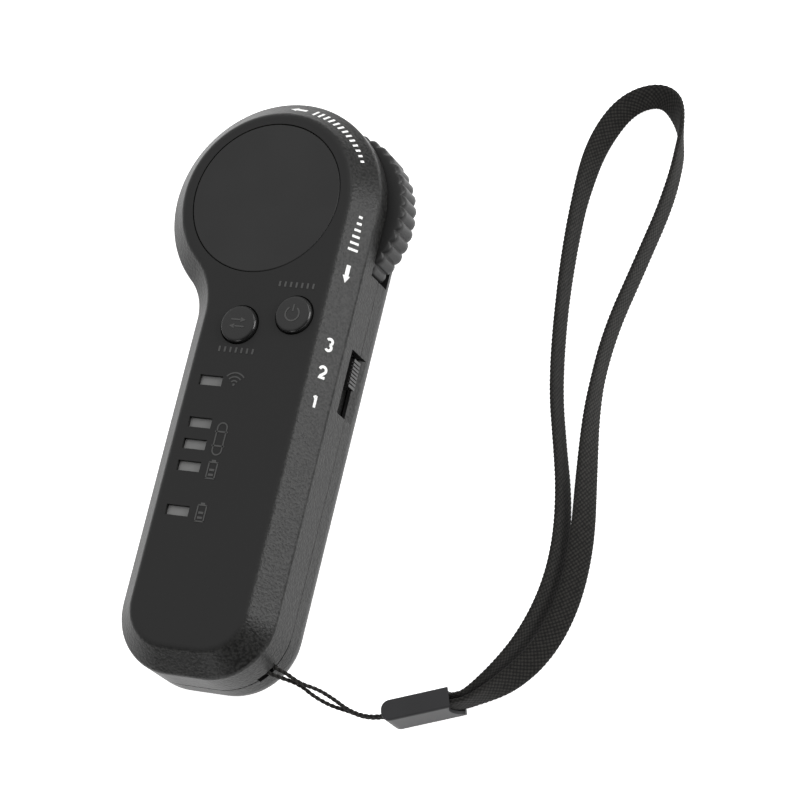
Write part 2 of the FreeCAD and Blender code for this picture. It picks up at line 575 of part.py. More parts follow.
# ---------------------------------------------------------------- push buttons
for name, (x, y) in BUTTONS.items():
    place = (f"{HEAD_X} + {x}", f"{HEAD_Y} + {y}")
    cap = new_body(f"{name}_button", *place)
    post(cap, f"{name}_flange", "0", "0", f"{FLANGE_TOP} - Sizes.cap_flange", sz("flange_radius"),
         sz("cap_flange"))
    post(cap, f"{name}_foot", "0", "0", PLUNGER_TOP, "1.8", f"{FLANGE_TOP} - {PLUNGER_TOP}")
    top = post(cap, f"{name}_cap", "0", "0", f"{FLANGE_TOP} - 0.2", sz("cap_radius"),
               f"Sizes.case_depth + Sizes.cap_proud - {FLANGE_TOP} + 0.2")
    rim = flat_edges(top, val("Sizes.case_depth + Sizes.cap_proud"))
    dress(cap, "Fillet", top, rim, "Radius", sz("cap_round"))
    keep(rod(f"{name}_plunger", "1.6", f"{PLUNGER_TOP} - {TACT_TOP} + 0.8", x, y, f"{TACT_TOP} - 0.8"),
         f"{name}_plunger")
    switch = new_body(f"{name}_switch", *place)
    case = new_sketch(switch, f"{name}_switch_case", z=BOARD_TOP)
    rectangle(case, "6", "6")
    extrude(switch, "Pad", case, f"{TACT_TOP} - {BOARD_TOP}")
    drill(switch, f"{name}_plunger_way", "0", "0", TACT_TOP, "1.7", "0.8 + Sizes.button_travel + 0.1")

# ---------------------------------------------------------------- indicator lenses and lights
for name, drop in WINDOWS.items():
    lens = new_body(f"{name}_lens", f"{HEAD_X} + Sizes.window_x", f"{HEAD_Y} - {drop}")
    flange = new_sketch(lens, f"{name}_lens_flange", z=f"{CEILING} - 0.8")
    rectangle(flange, "Sizes.window_width + 0.9", "Sizes.window_height + 0.9")
    extrude(lens, "Pad", flange, "0.8")
    stem = new_sketch(lens, f"{name}_lens_stem", z=f"{CEILING} - 0.4")
    rectangle(stem, "Sizes.window_width - 2 * Sizes.lens_gap", "Sizes.window_height - 2 * Sizes.lens_gap")
    extrude(lens, "Pad", stem, f"Sizes.case_depth - Sizes.lens_sunk - {CEILING} + 0.4")
    block(f"{name}_light", "3.0", "1.6", "1.1", sz("window_x"), f"-{drop}", BOARD_TOP)

# ---------------------------------------------------------------- slide switch
knob = new_body("speed_slider", HEAD_X, f"{HEAD_Y} + {KNOB_Y}", sz("slider_z"))
knob_out = "Sizes.head_radius + Sizes.knob_proud"
grip = new_sketch(knob, "grip", z=f"{WALL_INSIDE} - 1", plane="YZ_Plane")
rectangle(grip, sz("knob_length"), sz("knob_height"))
grip_pad = extrude(knob, "Pad", grip, f"{knob_out} - {WALL_INSIDE} + 1")
shield = new_sketch(knob, "shield", z=f"{WALL_INSIDE} - 1.4", plane="YZ_Plane")
rectangle(shield, "Sizes.slider_window + Sizes.slider_travel + 0.6", "Sizes.slider_window_height + 0.8")
extrude(knob, "Pad", shield, "1.0")
stem = new_sketch(knob, "stem", z=f"{WALL_INSIDE} - 5.0", plane="YZ_Plane")
rectangle(stem, "2.0", "1.8")
extrude(knob, "Pad", stem, "4.0")
rib_pitch = f"(Sizes.knob_length / Sizes.slider_ribs)"
for rib in range(int(SIZES["slider_ribs"]) - 1):
    notch = new_sketch(knob, f"rib_gap{rib}", f"({rib} + 1) * {rib_pitch} - Sizes.knob_length / 2", "0",
                       f"{knob_out} + 0.5", "YZ_Plane")
    rectangle(notch, "0.3", "Sizes.knob_height + 1")
    extrude(knob, "Pocket", notch, "0.5 + 0.35")

housing = new_body("slide_switch", HEAD_X, f"{HEAD_Y} + Sizes.slider_y", sz("slider_z"))
can = new_sketch(housing, "can", z=SWITCH_BACK, plane="YZ_Plane")
rectangle(can, "13.4", "5.4")
extrude(housing, "Pad", can, sz("switch_can_depth"))
way = new_sketch(housing, "stem_way", z=HOUSING_FACE, plane="YZ_Plane")
rectangle(way, "Sizes.slider_travel + 2.6", "2.2")
extrude(housing, "Pocket", way, "3.2")
block("switch_board", sz("switch_board_thickness"), "18", "Sizes.board_z - 7.4",
      f"({SWITCH_BACK} - Sizes.switch_board_thickness / 2)", sz("slider_y"), "7.4")

# ---------------------------------------------------------------- circuit board and its parts
board = new_body("circuit_board", HEAD_X, HEAD_Y, sz("board_z"))
plate = new_sketch(board, "board_plate", f"({BOARD_RIGHT} - {BOARD_LEFT}) / 2",
                   f"-(Sizes.board_top + {BOARD_BOTTOM}) / 2", "0")
rectangle(plate, f"{BOARD_LEFT} + {BOARD_RIGHT}", f"{BOARD_BOTTOM} - Sizes.board_top")
extrude(board, "Pad", plate, sz("board_thickness"))
for number in (1, 3):
    x, y = SCREWS[number]
    drill(board, f"boss_notch{number}", x, y, "Sizes.board_thickness + 1", "Sizes.boss_radius + 0.4",
          "Sizes.board_thickness + 2")
for number, (x, y) in enumerate(STANDOFFS):
    drill(board, f"board_hole{number}", x, y, "Sizes.board_thickness + 1", "0.9", "Sizes.board_thickness + 2")
below = lambda height: f"Sizes.board_z - {height}"
block("controller_chip", "7", "7", "0.9", "4", "-56", below("0.9"))
block("radio_module", "12", "17", "0.8", "6", USB_Y, BOARD_TOP)
block("radio_shield", "10.4", "11", "1.5", "6", f"{USB_Y} - 1.5", f"{BOARD_TOP} + 0.8")
block("charger_chip", "3", "3", "0.9", "-2", f"{USB_Y} + 11", below("0.9"))
block("hall_sensor", "4.1", "3.0", "1.5", WHEEL_X, f"Sizes.wheel_y - {MAGNET_REACH}", below("1.5"))
block("battery_socket", "6", "4.6", "3.4", "-1.5", "-40.5", below("3.4"))
block("battery_cell", f"{BATTERY_LEFT} + {BATTERY_RIGHT}", f"{BATTERY_END} - Sizes.battery_top",
      sz("battery_height"), f"({BATTERY_RIGHT} - {BATTERY_LEFT}) / 2",
      f"-({BATTERY_END} + Sizes.battery_top) / 2", "Sizes.case_wall + 1.1")

usb = new_body("usb_socket", HEAD_X, f"{HEAD_Y} + {USB_Y}", USB_Z)
usb_out = "(-Sizes.handle_left + 0.3)"
barrel = new_sketch(usb, "usb_barrel", z=usb_out, plane="YZ_Plane")
stadium(barrel, "8.94", "3.24")
extrude(usb, "Pad", barrel, "7.3")
mouth = new_sketch(usb, "usb_mouth", z=f"{usb_out} + 6.6", plane="YZ_Plane")
stadium(mouth, "8.3", "2.6")
extrude(usb, "Pocket", mouth, "6.6 + 0.5")
tongue = new_sketch(usb, "usb_tongue", z=f"{usb_out} + 0.8", plane="YZ_Plane")
rectangle(tongue, "6.7", "0.7")
extrude(usb, "Pad", tongue, "6.2")

# ---------------------------------------------------------------- fasteners
def screw(name, x, y, seat, radius, head_radius, head_height, length):
    """A pan-head screw whose head is under its seat, pointing up."""
    fuse = doc.addObject("Part::MultiFuse", name)
    fuse.Shapes = [rod(f"{name}_shank", radius, length, x, y, seat),
                   rod(f"{name}_head", head_radius, head_height, x, y, f"{seat} - {head_height}")]
    return fuse


case_screws = doc.addObject("Part::Compound", "case_screws")
case_screws.Links = [screw(f"case_screw{number}", x, y, sz("screw_seat"), sz("screw_radius"),
                           sz("screw_head_radius"), sz("screw_head_height"), sz("screw_length"))
                     for number, (x, y) in enumerate(SCREWS)]
keep(case_screws, "case_screws")
board_screws = doc.addObject("Part::Compound", "board_screws")
board_screws.Links = [screw(f"board_screw{number}", x, y, sz("board_z"), "0.7", "1.3", "0.9", "3.6")
                      for number, (x, y) in enumerate(STANDOFFS)]
keep(board_screws, "board_screws")
pin_foot = "(Sizes.case_wall / 2 + 3)"
keep(rod("lanyard_pin", sz("pin_radius"), f"{pin_low} + 2 - {pin_foot}", PIN_X, PIN_Y, pin_foot), "lanyard_pin")

# ---------------------------------------------------------------- lanyard
# The clasp lies on its narrow side, turned CLASP_TURN from +X, and starts at CLASP_START.
CLASP_START = (45.45, -64.49)
CLASP_TURN = 20.0
clasp = new_body("lanyard_clasp", str(CLASP_START[0]), str(CLASP_START[1]), "0")
clasp.Placement = Placement(Vector(*CLASP_START, 0), Rotation(Vector(0, 0, 1), CLASP_TURN))
bar = new_sketch(clasp, "clasp_bar", "0", "Sizes.clasp_height / 2", "0", "YZ_Plane")
rectangle(bar, sz("clasp_width"), sz("clasp_height"))
bar_pad = extrude(clasp, "Pad", bar, sz("clasp_length"))


def upright_end(edge):
    """True for an upright edge at the cord's end of the clasp."""
    box = edge.BoundBox
    return box.ZLength > 1 and box.XMax < 1e-4


def before_mouth(edge):
    """True for an edge that isn't wholly in the clasp's mouth."""
    return edge.BoundBox.XMin < val(sz("clasp_length")) - 1e-4


corners = [f"Edge{n}" for n, e in enumerate(bar_pad.Shape.Edges, 1) if upright_end(e)]
cornered = dress(clasp, "Fillet", bar_pad, corners, "Radius", sz("clasp_corner"))
clasp_top = val(sz("clasp_height"))
level_edges = flat_edges(cornered, 0.0, before_mouth) + flat_edges(cornered, clasp_top, before_mouth)
dress(clasp, "Fillet", cornered, level_edges, "Radius", sz("clasp_edge_round"))
pocket = new_sketch(clasp, "strap_pocket", "0", "Sizes.clasp_height / 2", "Sizes.clasp_length + 1", "YZ_Plane")
rectangle(pocket, "2 * (Sizes.strap_thickness + Sizes.strap_fit)", "Sizes.strap_width + 0.4")
extrude(clasp, "Pocket", pocket, "Sizes.clasp_pocket + 1")
scoop = new_sketch(clasp, "mouth_scoop", "Sizes.clasp_length + Sizes.scoop_out",
                   "Sizes.clasp_height / 2 + Sizes.scoop_up", "-Sizes.clasp_width", "XZ_Plane")
circle(scoop, sz("scoop_radius"))
scoop_cut = clasp.newObject("PartDesign::Pocket", "mouth_scoop_cut")
scoop_cut.Profile = scoop
scoop_cut.Type = "ThroughAll"
scoop_cut.Midplane = True
doc.recompute()
CORD_SPREAD = 0.55
for side in (-1, 1):
    hole = new_sketch(clasp, f"cord_hole{side + 1}", "0", f"Sizes.clasp_height / 2 + {side * CORD_SPREAD}",
                      sz("cord_hole_depth"),
                      "YZ_Plane")
    circle(hole, "Sizes.cord_width / 2 + 0.05")
    extrude(clasp, "Pocket", hole, "Sizes.cord_hole_depth + 1")

# Routes of the two thin cords and of the strap, in the remote's frame.
CORD_OUTER = [(15.78, -55.12, 9.9), (19.3, -58.7, 9.9), (22.8, -59.5, 9.1), (25.8, -61.0, 7.4),
              (29.2, -61.2, 5.2), (32.9, -62.6, 4.1), (36.6, -64.4, 4.1), (40.6, -65.3, 4.15),
              (44.79, -64.73, 4.25), (48.27, -63.46, 4.25)]
CORD_INNER = [(13.5, -57.8, 9.9), (18.7, -60.2, 9.9), (22.4, -60.7, 8.5), (25.4, -61.0, 6.2),
              (28.6, -62.8, 4.6), (32.5, -64.0, 3.5), (36.2, -64.4, 3.0), (40.4, -65.3, 3.0),
              (44.79, -64.73, 3.15), (48.27, -63.46, 3.15)]
STRAP = [(54.3, -60.46, 3.7), (62.19, -57.59, 3.65), (67.3, -50.9, 3.0), (71.3, -44.0, 2.7),
         (74.3, -35.0, 2.7), (75.0, -24.0, 2.7), (72.9, -12.0, 2.7), (69.4, -1.0, 2.7),
         (66.0, 10.0, 2.7), (63.4, 25.0, 2.7), (61.8, 41.0, 2.7), (61.4, 56.0, 2.7),
         (62.6, 68.0, 2.7), (67.4, 78.0, 2.7), (76.2, 80.4, 2.7), (81.6, 71.5, 2.7),
         (81.9, 57.0, 2.7), (78.2, 39.0, 2.7), (75.0, 24.0, 2.7), (74.6, 9.0, 2.7),
         (76.9, -7.0, 2.7), (79.4, -23.0, 2.7), (79.0, -36.0, 2.7), (75.6, -46.5, 2.7),
         (69.6, -54.0, 3.0), (62.9, -58.94, 3.65), (55.1, -61.78, 3.7)]
ARC_SHARE = 0.45


def route_path(points, label):
    """Straight runs joined by tangent arcs, each as large as its shorter run allows."""
    points = [Vector(*p) for p in points]
    edges, start, radii = [], points[0], []
    for before, corner, after in zip(points, points[1:], points[2:]):
        inwards, outwards = (corner - before), (after - corner)
        turn = inwards.getAngle(outwards)
        cut = ARC_SHARE * min(inwards.Length, outwards.Length)
        radii.append(cut / math.tan(turn / 2))
        enter = corner - inwards.normalize() * cut
        leave = corner + outwards.normalize() * cut
        middle = (enter + leave) / 2
        bisector = (corner - middle).normalize()
        sag = radii[-1] * (1 - math.cos(turn / 2))
        edges.append(Part.LineSegment(start, enter).toShape())
        edges.append(Part.Arc(enter, middle + bisector * sag, leave).toShape())
        start = leave
    edges.append(Part.LineSegment(start, points[-1]).toShape())
    wire = Part.Wire(edges)
    print(f"{label}: length {wire.Length:.1f}, radii", [round(r, 1) for r in radii])
    return wire


def check_sweep(shape, section, wire, label):
    """Stop if a swept solid's volume is not its section times its length."""
    expected = section * wire.Length
    if abs(shape.Volume - expected) > 0.02 * expected:
        raise RuntimeError(f"{label} has volume {shape.Volume:.1f}, not {expected:.1f}")


def round_cord(name, points):
    """One thin cord: a circle carried along its route."""
    wire = route_path(points, name)
    radius = val(sz("cord_width")) / 2
    heading = Vector(*points[1]) - Vector(*points[0])
    ring = Part.Wire(Part.Circle(Vector(*points[0]), heading, radius).toShape())
    sweep = wire.makePipeShell([ring], True, False)
    check_sweep(sweep, math.pi * radius ** 2, wire, name)
    cord = doc.addObject("Part::Feature", name)
    cord.Shape = sweep
    cord.Placement = Placement()
    keep(cord, name)


def flat_strap(name, points):
    """The flat strap, standing on its edge: a thin upright section carried along its route."""
    wire = route_path(points, name)
    width, thickness = val(sz("strap_width")), val(sz("strap_thickness"))
    start = Vector(*points[0])
    heading = (Vector(*points[1]) - start).normalize()
    side = Vector(-heading.y, heading.x, 0).normalize() * (thickness / 2)
    rise = heading.cross(side).normalize() * (width / 2)
    corners = [start + side - rise, start - side - rise, start - side + rise, start + side + rise]
    pipe = Part.BRepOffsetAPI.MakePipeShell(wire)
    pipe.setBiNormalMode(Vector(0, 0, 1))
    pipe.add(Part.makePolygon(corners + [corners[0]]))
    pipe.build()
    pipe.makeSolid()
    check_sweep(pipe.shape(), width * thickness, wire, name)
    strap = doc.addObject("Part::Feature", name)
    strap.Shape = pipe.shape()
    strap.Placement = Placement()
    keep(strap, name)


round_cord("lanyard_cord_outer", CORD_OUTER)
round_cord("lanyard_cord_inner", CORD_INNER)
flat_strap("lanyard_strap", STRAP)

# ---------------------------------------------------------------- check and write
doc.recompute()
for obj in doc.Objects:
    if "Invalid" in obj.State or "Error" in obj.State:
        raise RuntimeError(f"{obj.Label} failed: {obj.State}")
for node in nodes:
    if node.Shape.isNull() or not node.Shape.isValid() or node.Shape.Volume <= 0:
        raise RuntimeError(f"{node.Label} has no valid solid")
for node in nodes:
    node.Shape.exportStep(f"parts/{node.Label}.step")
print(f"{len(nodes)} sub-parts written")
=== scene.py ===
# %% [markdown]
# # A hand-held thumbwheel transmitter on its wrist lanyard
# This lesson dresses a CAD model in Blender.  The case, buttons and inner parts come from the CAD file
# and stay where they are.  What is soft or finely shaped is made here: the braided strap, the twisted
# cords, the toothed wheel and the printed marks.

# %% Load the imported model
import json
import math

import bpy
import numpy as np
from mathutils import Matrix, Vector


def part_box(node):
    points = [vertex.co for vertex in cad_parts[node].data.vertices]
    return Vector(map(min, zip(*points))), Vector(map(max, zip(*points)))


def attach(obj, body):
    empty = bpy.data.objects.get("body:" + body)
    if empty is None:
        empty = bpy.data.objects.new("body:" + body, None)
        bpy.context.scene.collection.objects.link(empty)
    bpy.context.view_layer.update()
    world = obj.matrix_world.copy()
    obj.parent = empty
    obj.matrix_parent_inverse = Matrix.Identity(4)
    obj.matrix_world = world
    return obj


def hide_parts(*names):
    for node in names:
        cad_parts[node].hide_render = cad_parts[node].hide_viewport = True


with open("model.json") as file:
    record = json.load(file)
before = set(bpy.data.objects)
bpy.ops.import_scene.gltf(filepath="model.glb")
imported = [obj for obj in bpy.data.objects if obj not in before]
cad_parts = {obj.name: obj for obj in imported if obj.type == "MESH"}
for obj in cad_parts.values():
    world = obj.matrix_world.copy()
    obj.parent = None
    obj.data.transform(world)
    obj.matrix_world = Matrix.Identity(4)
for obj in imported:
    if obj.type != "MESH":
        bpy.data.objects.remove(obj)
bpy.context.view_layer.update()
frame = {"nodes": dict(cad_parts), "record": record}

MM = 0.001

# %% [markdown]
# ## Places that come from the case
# The front shell's top gives the height of the face.  The disc gives the middle of the round head, and
# the wheel's box gives the axis that the wheel turns on.  Read from the model, they can't drift from it.

# %% Read the places
disc_low, disc_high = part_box("face_disc")
head_x, head_y = (disc_low.x + disc_high.x) / 2, (disc_low.y + disc_high.y) / 2
face_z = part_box("front_shell")[1].z
wheel_low, wheel_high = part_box("thumbwheel")
wheel_x, wheel_y = (wheel_low.x + wheel_high.x) / 2, (wheel_low.y + wheel_high.y) / 2
print("head centre, mm:", round(head_x / MM, 2), round(head_y / MM, 2), "face:", round(face_z / MM, 2))

# %% [markdown]
# ## The camera
# A long lens flattens perspective, as product views do.  The view is given by an azimuth, an elevation
# and a roll about the line of sight, which is easier to check than a matrix.

# %% Make the camera
AZIMUTH, ELEVATION, ROLL = (math.radians(angle) for angle in (56.60, 59.77, 46.78))
AIM = Vector((34.37, 2.36, 10.0)) * MM
DISTANCE = 728.07 * MM
LENS = 154.08                    # focal length in mm, for a sensor 36 mm wide
NEAR_CLIP = 50 * MM


def look_from(azimuth, elevation, roll):
    """A camera's three axes: back towards the viewer, a level right turned by roll, and up across both."""
    back = Vector((math.sin(azimuth) * math.cos(elevation), -math.cos(azimuth) * math.cos(elevation),
                   math.sin(elevation)))
    level = Vector((math.cos(azimuth), math.sin(azimuth), 0.0))
    rise = back.cross(level)
    right = level * math.cos(roll) - rise * math.sin(roll)
    return right, back.cross(right), back


right, up, back = look_from(AZIMUTH, ELEVATION, ROLL)
camera_data = bpy.data.cameras.new("product_camera")
camera_data.lens = LENS
camera_data.clip_start = NEAR_CLIP
camera = bpy.data.objects.new("product_camera", camera_data)
camera_axes = Matrix((right, up, back)).transposed().to_4x4()
camera.matrix_world = Matrix.Translation(AIM + back * DISTANCE) @ camera_axes
bpy.context.scene.collection.objects.link(camera)
bpy.context.scene.camera = camera
print("camera at, mm:", [round(c / MM) for c in camera.location])

# %% [markdown]
# ## One mesh builder for every surface
# Each new piece is a grid of points worked out with numpy.  A tube's grid closes round its section and
# has a cap at each end, and a ring's grid closes both ways.  Modifiers could sweep simple sections, but a
# braid, a twist and a row of teeth change the section at every point, which a formula does exactly.

# %% The grid skin


def skin(name, grid, ring=False, around=None, run=None, shade=None):
    """A closed mesh over grid[row, column]: columns close round the section, and rows run along it.

    With ring=True the rows close as well; otherwise each end gets a cap.  The UV map holds the
    distance around and the distance along, and shade is one number for each point.  The signed
    volume, a sixth of the sum of triple products, tells which way the faces point."""
    rows, cols = grid.shape[:2]
    i, j = np.meshgrid(np.arange(rows if ring else rows - 1), np.arange(cols), indexing="ij")
    i2, j2 = (i + 1) % rows, (j + 1) % cols
    quads = np.stack([i * cols + j, i * cols + j2, i2 * cols + j2, i2 * cols + j], -1).reshape(-1, 4)
    points = grid.reshape(-1, 3)
    a, b, c, d = (points[quads[:, k]] for k in range(4))
    volume = np.einsum("ij,ij->", np.cross(a, b), c) + np.einsum("ij,ij->", np.cross(a, c), d)
    around = np.arange(cols + 1) / cols if around is None else around
    run = np.arange(rows + 1) / rows if run is None else run
    corners = np.stack([np.stack([around[j + dj], run[i + di]], -1)
                        for di, dj in ((0, 0), (0, 1), (1, 1), (1, 0))], 2).reshape(-1, 4, 2)
    caps = [] if ring else [list(range(cols))[::-1], list(range((rows - 1) * cols, rows * cols))]
    if volume < 0:
        quads, corners = quads[:, ::-1], corners[:, ::-1]
        caps = [cap[::-1] for cap in caps]
    mesh = bpy.data.meshes.new(name)
    mesh.from_pydata(points.tolist(), [], quads.tolist() + caps)
    uv = np.zeros((len(mesh.loops), 2), np.float32)
    uv[:len(quads) * 4] = corners.reshape(-1, 2)
    mesh.uv_layers.new(name="surface").data.foreach_set("uv", uv.ravel())
    if shade is not None:
        layer = mesh.attributes.new("relief", "FLOAT", "POINT")
        layer.data.foreach_set("value", np.asarray(shade, np.float32).ravel())
    mesh.shade_smooth()
    mesh.validate()
    piece = bpy.data.objects.new(name, mesh)
    bpy.context.scene.collection.objects.link(piece)
    return piece


print("helper ready: skin")

# %% [markdown]
# ## The lanyard's routes
# A cord is a fixed length of something limp, so its route comes first.  Each route is a smooth NURBS
# line held by a few points, and the braid is laid on points read back from that line.

# %% Routes and how to read them
CORD_WIDTH = 0.9 * MM
STRAP_WIDTH = 5.4 * MM
STRAP_THICKNESS = 1.4 * MM
CORD_OUTER = [(15.78, -55.12, 9.9), (19.3, -58.7, 9.9), (22.8, -59.5, 9.1), (25.8, -61.0, 7.4),
              (29.2, -61.2, 5.2), (32.9, -62.6, 4.1), (36.6, -64.4, 4.1), (40.6, -65.3, 4.15),
              (44.79, -64.73, 4.25), (48.27, -63.46, 4.25)]
CORD_INNER = [(13.5, -57.8, 9.9), (18.7, -60.2, 9.9), (22.4, -60.7, 8.5), (25.4, -61.0, 6.2),
              (28.6, -62.8, 4.6), (32.5, -64.0, 3.5), (36.2, -64.4, 3.0), (40.4, -65.3, 3.0),
              (44.79, -64.73, 3.15), (48.27, -63.46, 3.15)]
STRAP = [(54.3, -60.46, 3.7), (60.2, -58.31, 3.7), (62.19, -57.59, 3.65), (67.3, -50.9, 3.0),
         (71.3, -44.0, 2.8), (74.3, -35.0, 2.8), (75.0, -24.0, 2.8), (72.9, -12.0, 2.8),
         (69.4, -1.0, 2.8), (66.0, 10.0, 2.8), (63.4, 25.0, 2.8), (61.8, 41.0, 2.8),
         (61.4, 56.0, 2.8), (62.6, 68.0, 2.5), (67.4, 78.0, 1.9), (76.2, 80.4, 1.7),
         (81.6, 71.5, 2.7), (81.9, 57.0, 2.8), (78.2, 39.0, 2.8), (75.0, 24.0, 2.8),
         (74.6, 9.0, 2.8), (76.9, -7.0, 2.8), (79.4, -23.0, 2.5), (79.0, -36.0, 2.3),
         (75.6, -46.5, 2.4), (69.6, -54.0, 2.9), (62.9, -58.94, 3.65), (60.6, -59.78, 3.7),
         (55.1, -61.78, 3.7)]
STEPS_PER_SPAN = 24
TANGENT_PASSES = 3


def spline_points(name, points):
    """Points along a clamped quadratic NURBS line whose control points are given in millimetres."""
    curve = bpy.data.curves.new(name, "CURVE")
    curve.dimensions = "3D"
    curve.resolution_u = STEPS_PER_SPAN
    spline = curve.splines.new("NURBS")
    spline.points.add(len(points) - 1)
    spline.points.foreach_set("co", [c for x, y, z in points for c in (x * MM, y * MM, z * MM, 1.0)])
    spline.order_u = 3
    spline.use_endpoint_u = True
    holder = bpy.data.objects.new(name, curve)
    mesh = bpy.data.meshes.new_from_object(holder)
    line = np.zeros(len(mesh.vertices) * 3)
    mesh.vertices.foreach_get("co", line)
    bpy.data.objects.remove(holder)
    bpy.data.curves.remove(curve)
    bpy.data.meshes.remove(mesh)
    return line.reshape(-1, 3)


def evenly(line, count):
    """The same line with points at equal distances, and those distances from its start."""
    steps = np.linalg.norm(np.diff(line, axis=0), axis=1)
    travelled = np.concatenate([[0.0], np.cumsum(steps)])
    along = np.linspace(0.0, travelled[-1], count)
    return np.stack([np.interp(along, travelled, line[:, k]) for k in range(3)], -1), along


def line_frames(line):
    """Tangent, level side and rise at each point: side is up crossed with tangent, both unit vectors."""
    tangent = np.gradient(line, axis=0)
    for _ in range(TANGENT_PASSES):
        tangent[1:-1] = (tangent[:-2] + 2 * tangent[1:-1] + tangent[2:]) / 4
    tangent /= np.linalg.norm(tangent, axis=1, keepdims=True)
    side = np.cross([0.0, 0.0, 1.0], tangent)
    side /= np.linalg.norm(side, axis=1, keepdims=True)
    return tangent, side, np.cross(tangent, side)


print("route points:", len(CORD_OUTER), len(CORD_INNER), len(STRAP))

# %% [markdown]
# ## The thin cords
# Two strands leave the slot in the case's corner and run to the clasp.  Real ones are two plies twisted
# together, so the tube's radius has two valleys that wind round it once in every twist.

# %% Twist the two cords
TWIST = 2.4 * MM
PLY_VALLEY = 0.30
CORD_ROWS, CORD_COLUMNS = 320, 28


def twisted_cord(name, points):
    """A two-ply cord: radius = half width x (1 - valley x (1 - ply)), ply = |cos(angle - turn)|.

    The turn is 2 pi x run / twist."""
    line, along = evenly(spline_points(name + "_route", points), CORD_ROWS)
    tangent, side, rise = line_frames(line)
    angle = np.arange(CORD_COLUMNS) / CORD_COLUMNS * 2 * math.pi
    turn = (2 * math.pi * along / TWIST)[:, None]
    ply = np.abs(np.cos(angle[None, :] - turn))
    radius = CORD_WIDTH / 2 * (1 - PLY_VALLEY * (1 - ply))
    grid = (line[:, None] + radius[..., None] * (np.cos(angle)[None, :, None] * side[:, None]
                                                 + np.sin(angle)[None, :, None] * rise[:, None]))
    girth = np.linspace(0.0, math.pi * CORD_WIDTH, CORD_COLUMNS + 1)
    run = np.append(along, along[-1])
    piece = skin(name, grid, around=girth, run=run, shade=ply)
    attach(piece, "case")
    print(f"{name}: {along[-1] / MM:.1f} mm long, {len(piece.data.polygons)} faces")
    return piece


cord_outer = twisted_cord("cord_outer", CORD_OUTER)
cord_inner = twisted_cord("cord_inner", CORD_INNER)
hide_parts("lanyard_cord_outer")
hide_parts("lanyard_cord_inner")

# %% [markdown]
# ## The flat strap
# The strap is a braided tube pressed flat, like a bootlace.  It stands on its edge for most of the loop
# and leans over where the loop turns back, because a flat band can only bend easily about its face.
# So the section is carried along the route and turned by a lean that changes on the way.

# %% Braid the strap
ROWS, COLUMNS = 1500, 64
BRAID_CELLS = 12
RELIEF = 0.16 * MM
SQUARENESS = 3.2                 # 2 is an ellipse, and more is nearer to a rectangle
# distance along the strap in mm, and its lean away from the loop's middle in degrees
LEAN = [(0, 0), (9, 0), (20, 12), (32, 22), (45, 22), (66, 10), (100, 8), (124, 16), (136, 36), (146, 62),
        (154, 72), (160, 60), (166, 26), (172, 2), (182, -6), (226, -8), (246, -34), (262, -56), (288, -58),
        (294, -46), (299, -20), (304, -2), (330, 0)]
LEAN_PASSES = 60


def braid(u, v):
    """Plain braid: strands at +45 and -45 degrees take turns on top, each a half sine across its width."""
    first, second = u + v, u - v
    f, g = first % 1.0, second % 1.0
    over = (np.floor(first) + np.floor(second)) % 2 < 1
    across, along = np.where(over, f, g), np.where(over, g, f)
    return np.sin(math.pi * across) * (0.45 + 0.55 * np.sin(math.pi * along))


def flat_section(count):
    """A flattened oval, |x / a|^n + |y / b|^n = 1, n the squareness, its points evenly spaced round it."""
    fine = np.linspace(0.0, 2 * math.pi, 2001)
    power = 2 / SQUARENESS
    x = STRAP_WIDTH / 2 * np.sign(np.cos(fine)) * np.abs(np.cos(fine)) ** power
    y = STRAP_THICKNESS / 2 * np.sign(np.sin(fine)) * np.abs(np.sin(fine)) ** power
    gone = np.concatenate([[0.0], np.cumsum(np.hypot(np.diff(x), np.diff(y)))])
    even = np.linspace(0.0, gone[-1], count + 1)
    return np.interp(even, gone, x)[:-1], np.interp(even, gone, y)[:-1], even


def braided_strap():
    """The section's width turns from upright towards the outside of the loop by the lean."""
    line, along = evenly(spline_points("strap_route", STRAP), ROWS)
    tangent, side, rise = line_frames(line)
    lean = np.radians(np.interp(along / MM, *np.array(LEAN, float).T))
    for _ in range(LEAN_PASSES):
        lean[1:-1] = (lean[:-2] + lean[1:-1] + lean[2:]) / 3
    cos, sin = np.cos(lean)[:, None], np.sin(lean)[:, None]
    wide = cos * rise + sin * side
    thick = cos * side - sin * rise
    x, y, girth = flat_section(COLUMNS)
    cell = girth[-1] / BRAID_CELLS
    height = braid(girth[None, :-1] / cell, along[:, None] / cell)
    inset = RELIEF * (height - 1)
    dx, dy = np.roll(x, -1) - np.roll(x, 1), np.roll(y, -1) - np.roll(y, 1)
    size = np.hypot(dx, dy)
    px = x[None, :] + inset * (dy / size)[None, :]
    py = y[None, :] - inset * (dx / size)[None, :]
    grid = line[:, None] + px[..., None] * wide[:, None] + py[..., None] * thick[:, None]
    piece = skin("strap", grid, around=girth, run=np.append(along, along[-1]), shade=height)
    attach(piece, "case")
    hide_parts("lanyard_strap")
    long, low = along[-1] / MM, grid[..., 2].min() / MM
    print(f"strap: {long:.1f} mm long, lowest point {low:.2f} mm, {len(piece.data.polygons)} faces")
    return piece


strap = braided_strap()

# %% [markdown]
# ## The thumbwheel
# Only a slice of the wheel shows, but it turns, so it is made whole.  A closed profile of radius and
# height is carried round the axis, and the outer points dip into a groove between two teeth.  Cutting the
# grooves one by one would do as well, but one formula gives every tooth the same soft lobe.

